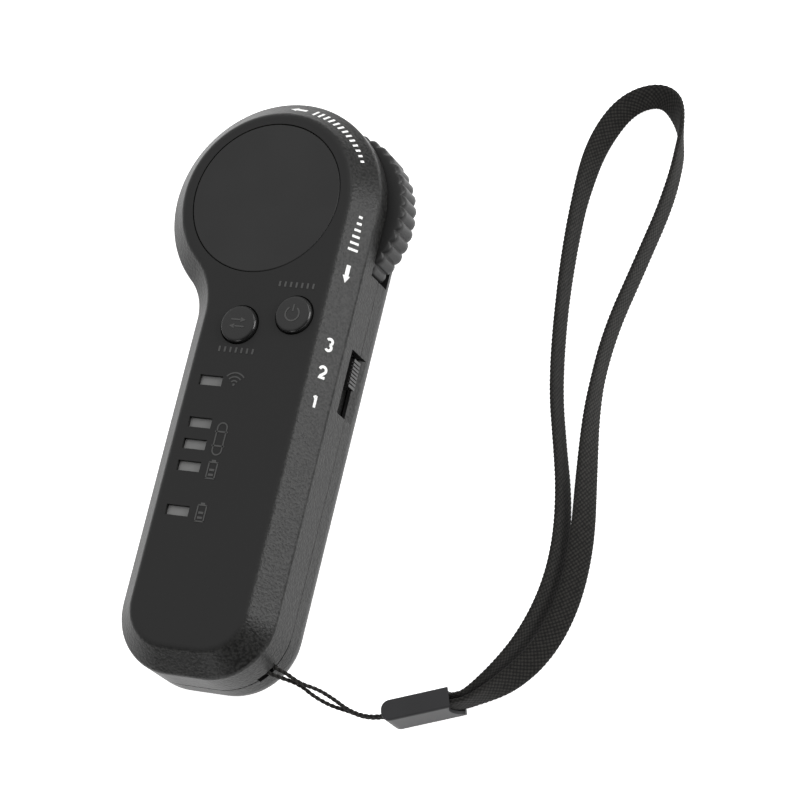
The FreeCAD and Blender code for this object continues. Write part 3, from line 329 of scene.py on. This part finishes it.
# %% Turn the wheel
TEETH = 42
STEPS_PER_TOOTH = 20
GROOVE_DEPTH = 0.7 * MM
RIM_START, RIM_WIDTH = 18.6 * MM, 0.8 * MM
LONG_SEGMENT = 1.2               # in mm: a longer part of the profile is cut into four
LOBE = 0.86                      # how much of its half circle a tooth's outline keeps


def wheel_profile():
    """Radius and height in mm along the wheel's section; both outer corners are broken alike."""
    bore, hub, well, tip = 2.05, 5.0, 16.4, 19.8
    height, web = 7.5, 3.0
    corner = [(18.8, 0), (19.0, 0.05), (19.6, 0.5), (tip, 0.85)]
    outline = [(bore, 0), (hub, 0), (hub, height - web), (well, height - web), (well, 0)] + corner
    outline += [(tip, z) for z in np.linspace(1.8, height - 1.8, 6)]
    outline += [(r, height - z) for r, z in corner[::-1]]
    outline += [(16.8, height), (15.0, height), (bore, height)]
    points = []
    for (r0, z0), (r1, z1) in zip(outline, outline[1:] + outline[:1]):
        pieces = 1 if math.hypot(r1 - r0, z1 - z0) < LONG_SEGMENT else 4
        points += [(r0 + (r1 - r0) * k / pieces, z0 + (z1 - z0) * k / pieces) for k in range(pieces)]
    return np.array(points) * MM


def toothed_wheel():
    """Radius = profile - depth x drop(p) x rim, where p is 0 on a tooth and 1 between two teeth.

    drop = (1 - sqrt(1 - (k p)^2)) / (1 - sqrt(1 - k^2)) is a round lobe with a sharp valley, k = LOBE,
    and rim is 0 on the flat sides and 1 at the tip."""
    profile = wheel_profile()
    steps = TEETH * STEPS_PER_TOOTH
    angle = np.arange(steps) / steps * 2 * math.pi
    phase = np.abs((angle * TEETH / (2 * math.pi)) % 1.0 - 0.5) * 2
    drop = (1 - np.sqrt(1 - (LOBE * phase) ** 2)) / (1 - math.sqrt(1 - LOBE ** 2))
    rim = np.clip((profile[:, 0] - RIM_START) / RIM_WIDTH, 0.0, 1.0)
    radius = profile[None, :, 0] - GROOVE_DEPTH * drop[:, None] * rim[None, :]
    grid = np.stack([wheel_x + radius * np.cos(angle)[:, None], wheel_y + radius * np.sin(angle)[:, None],
                     np.broadcast_to(wheel_low.z + profile[None, :, 1], radius.shape)], -1)
    piece = skin("toothed_wheel", grid, ring=True)
    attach(piece, "wheel")
    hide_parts("thumbwheel")
    print(f"wheel: {TEETH} teeth, {len(piece.data.polygons)} faces")
    return piece


wheel = toothed_wheel()

# %% [markdown]
# ## Printed and moulded marks
# Marks are thin ribbons drawn in two flat numbers and then laid on a surface by a map.  One map is the
# face.  The other is the bevel, where the first number runs along the edge and the second up the slope.
# A texture could carry the marks as well, but thin slabs stay sharp from any distance.

# %% Maps and ribbons
BEVEL_RUN, BEVEL_DROP = 4.8 * MM, 5.5 * MM
HEAD_RADIUS = 24.6 * MM
MIDDLE_RADIUS = HEAD_RADIUS - BEVEL_RUN / 2
SLANT = math.hypot(BEVEL_RUN, BEVEL_DROP)
# how far a print and a moulded mark stand off the surface, and how deep their feet go
LIFT, RAISED, SUNK = 0.025 * MM, 0.09 * MM, 0.05 * MM


def on_face(height):
    """Lays (x, y), in mm from the head's centre, on a level surface at the given height."""
    def lay(p, lift):
        x, y = head_x + p[..., 0] * MM, head_y + p[..., 1] * MM
        return np.stack([x, y, np.full(p.shape[:-1], height + lift)], -1)
    return lay


def on_bevel(p, lift):
    """Lays (t, w): t mm along the edge from where the head's arc starts, w mm up from the slope's middle.

    Below t = 0 the edge is straight, and above it the point turns about the head's centre by t / radius."""
    t, w = p[..., 0] * MM, p[..., 1] * MM
    out, rise = BEVEL_DROP / SLANT, BEVEL_RUN / SLANT
    reach = MIDDLE_RADIUS - w * BEVEL_RUN / SLANT + lift * out
    turn = np.maximum(t, 0.0) / MIDDLE_RADIUS
    x = head_x + reach * np.cos(turn)
    y = head_y + reach * np.sin(turn) + np.minimum(t, 0.0)
    return np.stack([x, y, face_z - BEVEL_DROP / 2 + w * BEVEL_DROP / SLANT + lift * rise], -1)


def ribbon(points, widths):
    """The two edges of a stroke: each point moved half a width to both sides, square to the stroke."""
    points = np.array(points, float)
    heading = np.gradient(points, axis=0)
    heading /= np.linalg.norm(heading, axis=1, keepdims=True)
    half = np.broadcast_to(widths, len(points)) / 2
    across = np.stack([-heading[:, 1], heading[:, 0]], -1) * half[:, None]
    return points + across, points - across


def marks(name, strokes, lay, body="case", lift=LIFT):
    """Every stroke becomes a thin closed slab that follows the surface, and the slabs are joined."""
    slabs = []
    for points, widths in strokes:
        left, right = ribbon(points, widths)
        section = np.stack([lay(left, lift), lay(right, lift), lay(right, -SUNK), lay(left, -SUNK)], 1)
        slabs.append(skin(name, section))
    with bpy.context.temp_override(active_object=slabs[0], selected_editable_objects=slabs):
        bpy.ops.object.join()
    piece = slabs[0]
    piece.data.shade_flat()
    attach(piece, body)
    print(f"{name}: {len(strokes)} strokes")
    return piece


def arc(cx, cy, radius, start, end, count=20):
    """Points on a circle from one angle to another, in degrees."""
    a = np.radians(np.linspace(start, end, count))
    return np.stack([cx + radius * np.cos(a), cy + radius * np.sin(a)], -1)


def straight(a, b, count=6):
    """Points on a line from a to b."""
    return np.linspace(a, b, count)


print("the bevel's slope, mm:", round(SLANT / MM, 2))

# %% [markdown]
# ## Marks on the bevel
# The three places of the slide switch are numbered.  By the wheel, two arrows point the ways it turns,
# and beside them a row of ticks grows longer the way it turns further.

# %% Draw the bevel's marks
DIGIT_HEIGHT, DIGIT_STROKE = 2.6, 0.6
DIGIT_PLACES = {"3": -31.3, "2": -37.6, "1": -44.2}
POINT = 0.02                     # the width of an arrow's very tip
STEM_WIDTH = 0.95
TICK_STEP, TICK_WIDTH = 1.5, 0.55
TICK_SHORT, TICK_LONG = 0.9, 2.4


def digit_strokes(digit, place):
    """Strokes of one upright digit: across the slope is the digit's width, along the edge its height."""
    h, r = DIGIT_HEIGHT, DIGIT_HEIGHT / 4
    shapes = {
        "1": [straight((0, h), (0, 0)), straight((-0.55, h - 0.5), (0.05, h - 0.05), 3)],
        "2": [np.concatenate([arc(0, h - 0.75, 0.75, 170, -40, 14),
                              straight((0.42, h - 1.45), (-0.72, 0.2), 4)[1:], [(0.78, 0.2)]])],
        "3": [arc(0, h - r, r, 150, -80, 16), arc(0, r, r, 80, -150, 16)]}
    return [([(place - h / 2 + y, -x) for x, y in shape], DIGIT_STROKE) for shape in shapes[digit]]


def arrow(neck, heading, stem=2.4, head=1.6):
    """A filled arrow along the edge: its stem ends and its head starts at the neck."""
    return [(straight((neck, 0.0), (neck + heading * head, 0.0), 2), [head * 1.12, POINT]),
            (straight((neck - heading * stem, 0.0), (neck + heading * 0.05, 0.0), 2), STEM_WIDTH)]


def ticks(start, heading, count):
    """A row of ticks across the slope, evenly apart, which grow from short to long."""
    places = start + heading * TICK_STEP * np.arange(count)
    halves = np.linspace(TICK_SHORT, TICK_LONG, count) / 2
    return [([(place, -half), (place, half)], TICK_WIDTH) for place, half in zip(places, halves)]


strokes = [s for digit, place in DIGIT_PLACES.items() for s in digit_strokes(digit, place)]
number_marks = marks("switch_numbers", strokes, on_bevel)
strokes = ticks(11.5, 1.0, 13) + arrow(34.2, 1.0) + ticks(-1.9, -1.0, 6) + arrow(-15.4, -1.0)
wheel_marks = marks("wheel_marks", strokes, on_bevel)

# %% [markdown]
# ## Faint marks on the face
# Beside each group of lights is a small raised picture of what it tells: radio waves, a board and two
# batteries.  A short row of bars stands by each push button.  All are part of the case's own plastic, a
# little more polished where they stand up, and their colour is a painted sheen, lighter than the face's.

# %% Draw the face's marks
# places in mm from the head's centre
SYMBOL_X = 3.7
SYMBOL_STROKE = 0.3
WAVES_Y = -43.2
BOARD_LOW, BOARD_HIGH = -58.0, -53.0
BATTERY_YS = (-62.6, -72.2)
POWER_ROW, REVERSE_ROW = (12.6, -19.5), (2.2, -35.4)


def box_outline(cx, cy, width, height):
    """A closed rectangle, as four strokes that overlap at the corners."""
    w, h, o = width / 2, height / 2, 0.14
    return [straight((cx - w - o, cy - h), (cx + w + o, cy - h), 2),
            straight((cx + w, cy - h), (cx + w, cy + h), 2),
            straight((cx + w + o, cy + h), (cx - w - o, cy + h), 2),
            straight((cx - w, cy + h), (cx - w, cy - h), 2)]


def battery(cx, cy):
    """A battery on end: an outline, a small cap and two bars of charge."""
    shapes = [(p, 0.28) for p in box_outline(cx, cy, 2.0, 3.6)]
    shapes.append((straight((cx - 0.5, cy + 2.15), (cx + 0.5, cy + 2.15), 2), 0.4))
    shapes += [(straight((cx - 0.6, cy + k), (cx + 0.6, cy + k), 2), 0.5) for k in (-1.0, 0.1)]
    return shapes


waves = [(arc(SYMBOL_X, WAVES_Y, r, 40, 140), SYMBOL_STROKE) for r in (0.9, 1.8, 2.7)]
waves.append((straight((SYMBOL_X - 0.25, WAVES_Y), (SYMBOL_X + 0.25, WAVES_Y), 2), 0.5))
board = [(arc(SYMBOL_X, BOARD_HIGH, 1.1, 0, 180), SYMBOL_STROKE),
         (arc(SYMBOL_X, BOARD_LOW, 1.1, 180, 360), SYMBOL_STROKE)]
board += [(straight((x, BOARD_HIGH), (x, BOARD_LOW), 2), SYMBOL_STROKE)
          for x in (SYMBOL_X - 1.1, SYMBOL_X + 1.1)]
board += [(straight((SYMBOL_X - 1.5, y), (SYMBOL_X + 1.5, y), 2), 0.35)
          for y in (BOARD_HIGH - 0.9, BOARD_LOW + 0.9)]
batteries = [stroke for y in BATTERY_YS for stroke in battery(SYMBOL_X, y)]
rows = [([(cx + k, cy - 0.6), (cx + k, cy + 0.6)], 0.45)
        for cx, cy in (POWER_ROW, REVERSE_ROW) for k in np.linspace(-4.0, 4.0, 7)]
face_marks = marks("face_marks", waves + board + batteries + rows, on_face(face_z), lift=RAISED)

# %% [markdown]
# ## Marks on the two caps
# The power cap carries the usual ring with a bar, and the reverse cap a pair of opposed arrows.  Each
# rides on its own cap, so it goes down with it.

# %% Draw the caps' marks
POWER, REVERSE = (13.8, -26.3), (1.5, -29.6)
cap_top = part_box("power_button")[1].z
# the caps' marks take the same finish, whose lighter colour is a painted sheen
power_shapes = [(arc(POWER[0], POWER[1] - 0.1, 1.6, 125, 415, 40), 0.34),
                (straight((POWER[0], POWER[1] + 0.5), (POWER[0], POWER[1] + 2.0), 2), 0.34)]
power_mark = marks("power_mark", power_shapes, on_face(cap_top), "power_key", RAISED)


def turn_arrow(side):
    """A horizontal arrow above or below the middle, pointing to one side."""
    cx, cy = REVERSE[0], REVERSE[1] + 0.75 * side
    return [(straight((cx - 1.7 * side, cy), (cx + 0.7 * side, cy), 2), 0.32),
            (straight((cx + 0.6 * side, cy), (cx + 1.8 * side, cy), 2), [1.1, POINT])]


reverse_mark = marks("reverse_mark", turn_arrow(1) + turn_arrow(-1), on_face(cap_top),
                     "reverse_key", RAISED)

# %% [markdown]
# ## Finishes
# Each finish is a small node graph.  Moulded plastic gets a fine grain in its bump and a slow drift in
# its colour.  The grain is measured on the object itself, in metres, so it has a real size.

# %% Material helpers


def new_finish(name, colour, roughness, metallic=0.0, specular=0.5):
    """A material with one Principled shader, whose plain numbers are set on its own sockets."""
    material = bpy.data.materials.new(name)
    material.use_nodes = True
    nodes, links = material.node_tree.nodes, material.node_tree.links
    shader = nodes["Principled BSDF"]
    shader.inputs["Base Color"].default_value = (*colour, 1.0)
    shader.inputs["Roughness"].default_value = roughness
    shader.inputs["Metallic"].default_value = metallic
    shader.inputs["Specular IOR Level"].default_value = specular
    return material, nodes, links, shader


def noise(nodes, links, scale, detail=2.0, vector="Object"):
    """A noise texture read in the piece's own coordinates."""
    place = nodes.new("ShaderNodeTexCoord")
    texture = nodes.new("ShaderNodeTexNoise")
    texture.inputs["Scale"].default_value = scale
    texture.inputs["Detail"].default_value = detail
    links.new(place.outputs[vector], texture.inputs["Vector"])
    return texture


def tint(nodes, links, shader, factor, low, high):
    """Drifts the base colour between two colours as the factor goes from 0.3 to 0.7."""
    ramp = nodes.new("ShaderNodeValToRGB")
    ramp.color_ramp.elements[0].position = 0.3
    ramp.color_ramp.elements[1].position = 0.7
    ramp.color_ramp.elements[0].color = (*low, 1.0)
    ramp.color_ramp.elements[1].color = (*high, 1.0)
    links.new(factor, ramp.inputs["Fac"])
    links.new(ramp.outputs["Color"], shader.inputs["Base Color"])


def bump(nodes, links, shader, height, strength, distance):
    """A bump from a height in 0 to 1, where distance is its depth in metres."""
    node = nodes.new("ShaderNodeBump")
    node.inputs["Strength"].default_value = strength
    node.inputs["Distance"].default_value = distance
    links.new(height, node.inputs["Height"])
    links.new(node.outputs["Normal"], shader.inputs["Normal"])
    return node


def between(nodes, links, value, low, high):
    """A number that goes from low to high as the value goes from 0 to 1."""
    node = nodes.new("ShaderNodeMapRange")
    node.inputs["To Min"].default_value = low
    node.inputs["To Max"].default_value = high
    links.new(value, node.inputs["Value"])
    return node.outputs["Result"]


def moulded(name, colour, roughness, grain=5200.0, depth=0.02 * MM, strength=0.35, drift=0.12, **more):
    """Moulded plastic: fine grain in the bump, and a slow drift of colour over the piece."""
    material, nodes, links, shader = new_finish(name, colour, roughness, **more)
    slow = noise(nodes, links, 60.0)
    tint(nodes, links, shader, slow.outputs["Fac"], [c * (1 - drift) for c in colour],
         [c * (1 + drift) for c in colour])
    bump(nodes, links, shader, noise(nodes, links, grain, 3.0).outputs["Fac"], strength, depth)
    return material


def level_mask(nodes, links, low=0.70, high=0.98):
    """1 where the surface is level and faces up, 0 where it slopes: a ramp on the normal's height.

    The bevel's normal is 0.66 high, so the ramp runs over the rounding between bevel and face."""
    geometry = nodes.new("ShaderNodeNewGeometry")
    split = nodes.new("ShaderNodeSeparateXYZ")
    step = nodes.new("ShaderNodeMapRange")
    step.inputs["From Min"].default_value = low
    step.inputs["From Max"].default_value = high
    links.new(geometry.outputs["Normal"], split.inputs["Vector"])
    links.new(split.outputs["Z"], step.inputs["Value"])
    return step.outputs["Result"]


print("helpers ready: new_finish, noise, tint, bump, between, moulded, level_mask")

# %% [markdown]
# ## The case's finish
# The face is smooth, and the slopes and walls are spark-grained, as a mould is when only its face insert
# is polished.  One material does both: a mask from the surface's own direction blends two grains.

# %% Case, disc, caps and wheel
GRAIN_SCALE = 1750.0             # about half a millimetre from grain to grain
GRAIN_DEPTH = 0.11 * MM


def case_finish():
    """Satin on the level face and a coarser, lighter grain on everything that slopes."""
    material, nodes, links, shader = new_finish("case_plastic", (0.018, 0.018, 0.0185), 0.5)
    mask = level_mask(nodes, links)
    blend = nodes.new("ShaderNodeMix")
    blend.data_type = "RGBA"
    grain = noise(nodes, links, GRAIN_SCALE, 1.0)
    speckle = nodes.new("ShaderNodeValToRGB")
    speckle.color_ramp.elements[0].position = 0.35
    speckle.color_ramp.elements[1].position = 0.65
    speckle.color_ramp.elements[0].color = (0.006, 0.006, 0.0058, 1.0)
    speckle.color_ramp.elements[1].color = (0.020, 0.020, 0.0194, 1.0)
    links.new(grain.outputs["Fac"], speckle.inputs["Fac"])
    links.new(speckle.outputs["Color"], blend.inputs["A"])
    blend.inputs["B"].default_value = (0.012, 0.012, 0.012, 1.0)
    links.new(mask, blend.inputs["Factor"])
    links.new(blend.outputs["Result"], shader.inputs["Base Color"])
    links.new(between(nodes, links, mask, 0.39, 0.46), shader.inputs["Roughness"])
    links.new(between(nodes, links, mask, 0.20, 0.27), shader.inputs["Specular IOR Level"])
    relief = bump(nodes, links, shader, grain.outputs["Fac"], 0.5, GRAIN_DEPTH)
    links.new(between(nodes, links, mask, 0.8, 0.10), relief.inputs["Strength"])
    return material


finishes = {
    "case": case_finish(),
    "disc": moulded("disc_plastic", (0.015, 0.015, 0.015), 0.46, strength=0.08, specular=0.33),
    "wheel": moulded("wheel_plastic", (0.018, 0.018, 0.018), 0.40, grain=4200.0, strength=0.2,
                     specular=0.25),
    "cap": moulded("cap_plastic", (0.012, 0.012, 0.012), 0.24, strength=0.06, specular=0.42),
    # the marks are the case's own plastic; their lighter colour is a painted sheen
    "mark": moulded("raised_marks_painted_sheen", (0.040, 0.040, 0.039), 0.30, strength=0.04, specular=0.6),
    "lens": moulded("smoked_lens", (0.175, 0.175, 0.173), 0.34, strength=0.12),
    "print": moulded("white_print", (0.80, 0.80, 0.79), 0.6, strength=0.10, drift=0.03),
    "clasp": moulded("clasp_rubber", (0.026, 0.026, 0.0275), 0.44, grain=3000.0, strength=0.22,
                     specular=0.26),
}
print("finishes so far:", sorted(finishes))

# %% [markdown]
# ## Braid and cord
# The braid's relief is real geometry, and its height is kept on the mesh.  The same height paints shade
# into the gaps between strands and the valleys between the cord's plies, and fine threads run along the
# strands in the bump.  Sheen gives the soft edge that brushed fibres have.

# %% Woven finishes


def woven(name, shaded_gap_colour, crest, thread_scale):
    """Painted shade in the gaps, lighter crests in uneven patches, fine threads and a little sheen."""
    material, nodes, links, shader = new_finish(name, crest, 0.88, specular=0.2)
    shader.inputs["Sheen Weight"].default_value = 0.06
    shader.inputs["Sheen Roughness"].default_value = 0.6
    relief = nodes.new("ShaderNodeAttribute")
    relief.attribute_name = "relief"
    patches = noise(nodes, links, 900.0, 1.0, "UV")
    patchiness = between(nodes, links, patches.outputs["Fac"], 0.45, 1.35)
    gap_shade_factor = nodes.new("ShaderNodeMath")
    gap_shade_factor.operation = "MULTIPLY"
    links.new(relief.outputs["Fac"], gap_shade_factor.inputs[0])
    links.new(patchiness, gap_shade_factor.inputs[1])
    # painted shade: where the braid or ply sits low, the colour goes to the gap colour, in uneven patches
    tint(nodes, links, shader, gap_shade_factor.outputs["Value"], shaded_gap_colour, crest)
    threads = noise(nodes, links, thread_scale, 2.0, "UV")
    bump(nodes, links, shader, threads.outputs["Fac"], 0.6, 0.03 * MM)
    return material


# first colour: painted shade in the gaps; second: the fibre's own colour on the crests
finishes["strap"] = woven("strap_braid", (0.003, 0.003, 0.0027), (0.0205, 0.0193, 0.0176), 9000.0)
finishes["cord"] = woven("cord_twist", (0.003, 0.003, 0.0027), (0.019, 0.018, 0.0165), 9000.0)
print("woven finishes: strap, cord")

# %% [markdown]
# ## Inner parts
# The board, the battery and the metal parts are hidden when the case is shut, but each still gets a
# finish that fits it: a coated laminate, a foil pouch, and drawn or turned metal with fine scratches.

# %% Finishes of the inner parts


def metal(name, colour, roughness, stretch):
    """Metal with fine lines: noise stretched along one axis drives the roughness and a slight bump."""
    material, nodes, links, shader = new_finish(name, colour, roughness, metallic=1.0)
    place = nodes.new("ShaderNodeTexCoord")
    scale = nodes.new("ShaderNodeMapping")
    scale.inputs["Scale"].default_value = stretch
    lines = nodes.new("ShaderNodeTexNoise")
    lines.inputs["Scale"].default_value = 900.0
    links.new(place.outputs["Object"], scale.inputs["Vector"])
    links.new(scale.outputs["Vector"], lines.inputs["Vector"])
    rough = between(nodes, links, lines.outputs["Fac"], roughness * 0.8, roughness * 1.3)
    links.new(rough, shader.inputs["Roughness"])
    bump(nodes, links, shader, lines.outputs["Fac"], 0.1, 0.01 * MM)
    return material


finishes["steel"] = metal("bright_steel", (0.62, 0.62, 0.61), 0.28, (1.0, 1.0, 8.0))
finishes["magnet"] = metal("nickel_plate", (0.55, 0.54, 0.52), 0.22, (4.0, 4.0, 1.0))
finishes["cell"] = metal("foil_pouch", (0.60, 0.61, 0.63), 0.38, (1.0, 3.0, 1.0))
finishes["washer"] = moulded("washer_nylon", (0.62, 0.61, 0.57), 0.42, strength=0.1)
finishes["board"] = moulded("coated_laminate", (0.012, 0.085, 0.035), 0.36, grain=1500.0, strength=0.1)
finishes["chip"] = moulded("black_epoxy", (0.016, 0.016, 0.016), 0.5, strength=0.2)
finishes["led"] = moulded("light_chip", (0.78, 0.76, 0.60), 0.3, strength=0.05)
print("all finishes:", len(finishes))

# %% [markdown]
# ## Dressing the pieces
# Each CAD node has a slot in the record that says what it is made of.  So one loop reads the slots and
# hands out the finishes, and the new pieces get theirs from a short list.

# %% Put every finish on its pieces
slots = {part["node"]: part["material_slot"] for part in frame["record"]["subparts"]}
for node, piece in frame["nodes"].items():
    piece.data.materials.clear()
    piece.data.materials.append(finishes[slots[node]])
for piece, slot in ((strap, "strap"), (cord_outer, "cord"), (cord_inner, "cord"), (wheel, "wheel"),
                    (number_marks, "print"), (wheel_marks, "print"), (face_marks, "mark"),
                    (power_mark, "mark"), (reverse_mark, "mark")):
    piece.data.materials.clear()
    piece.data.materials.append(finishes[slot])
print("dressed", len(frame["nodes"]), "CAD nodes")

# %% [markdown]
# ## Floor and light
# A dark satin object shows what surrounds it more than its own colour.  So the floor glows like a light
# table and broad panels stand low at the sides.  The sky is brightest behind the head, where the face
# mirrors it, and fades towards the viewer.

# %% Light the object
REACH = 3.0                      # half the floor's side, in metres
PANELS_LOOK_AT = Vector((30.0, 0.0, 0.0)) * MM
SKY_AZIMUTH, SKY_ELEVATION = math.radians(-124), math.radians(60)
SKY_FADE = (("From Min", -0.1), ("From Max", 1.0), ("To Min", 0.02), ("To Max", 0.95))
corners = [(-REACH, -REACH, 0), (REACH, -REACH, 0), (REACH, REACH, 0), (-REACH, REACH, 0)]
floor_mesh = bpy.data.meshes.new("pale_floor")
floor_mesh.from_pydata(corners, [], [(0, 1, 2, 3)])
floor = bpy.data.objects.new("pale_floor", floor_mesh)
bpy.context.scene.collection.objects.link(floor)
floor_finish, nodes, links, shader = new_finish("floor_paint", (0.86, 0.86, 0.86), 0.9, specular=0.1)
tint(nodes, links, shader, noise(nodes, links, 4.0).outputs["Fac"], (0.85, 0.85, 0.85), (0.87, 0.87, 0.87))
shader.inputs["Emission Color"].default_value = (1.0, 1.0, 1.0, 1.0)
shader.inputs["Emission Strength"].default_value = 0.92
floor_mesh.materials.append(floor_finish)

world = bpy.data.worlds.new("soft_room")
world.use_nodes = True
world.node_tree.nodes["Background"].inputs["Color"].default_value = (1.0, 1.0, 1.0, 1.0)
nodes, links = world.node_tree.nodes, world.node_tree.links
sky = nodes.new("ShaderNodeTexCoord")
facing = nodes.new("ShaderNodeVectorMath")
facing.operation = "DOT_PRODUCT"
facing.inputs[1].default_value = look_from(SKY_AZIMUTH, SKY_ELEVATION, 0.0)[2]
fade = nodes.new("ShaderNodeMapRange")
fade.interpolation_type = "SMOOTHSTEP"
for socket, value in SKY_FADE:
    fade.inputs[socket].default_value = value
links.new(sky.outputs["Generated"], facing.inputs[0])
links.new(facing.outputs["Value"], fade.inputs["Value"])
links.new(fade.outputs["Result"], nodes["Background"].inputs["Strength"])
bpy.context.scene.world = world
bpy.context.scene.view_settings.view_transform = "Standard"


def panel(name, azimuth, elevation, distance, size, power):
    """A square soft light that looks at the object from an azimuth and an elevation, in degrees."""
    light = bpy.data.lights.new(name, "AREA")
    light.shape = "SQUARE"
    light.size = size
    light.energy = power
    lamp = bpy.data.objects.new(name, light)
    right, up, back = look_from(math.radians(azimuth), math.radians(elevation), 0.0)
    place = Matrix.Translation(PANELS_LOOK_AT + back * distance)
    lamp.matrix_world = place @ Matrix((right, up, back)).transposed().to_4x4()
    bpy.context.scene.collection.objects.link(lamp)


panel("right_panel", 109, 19, 1.4, 0.8, 17.0)
panel("front_panel", -8, 8, 1.4, 0.5, 2.8)
panel("far_panel", 150, 40, 1.6, 0.7, 4.0)
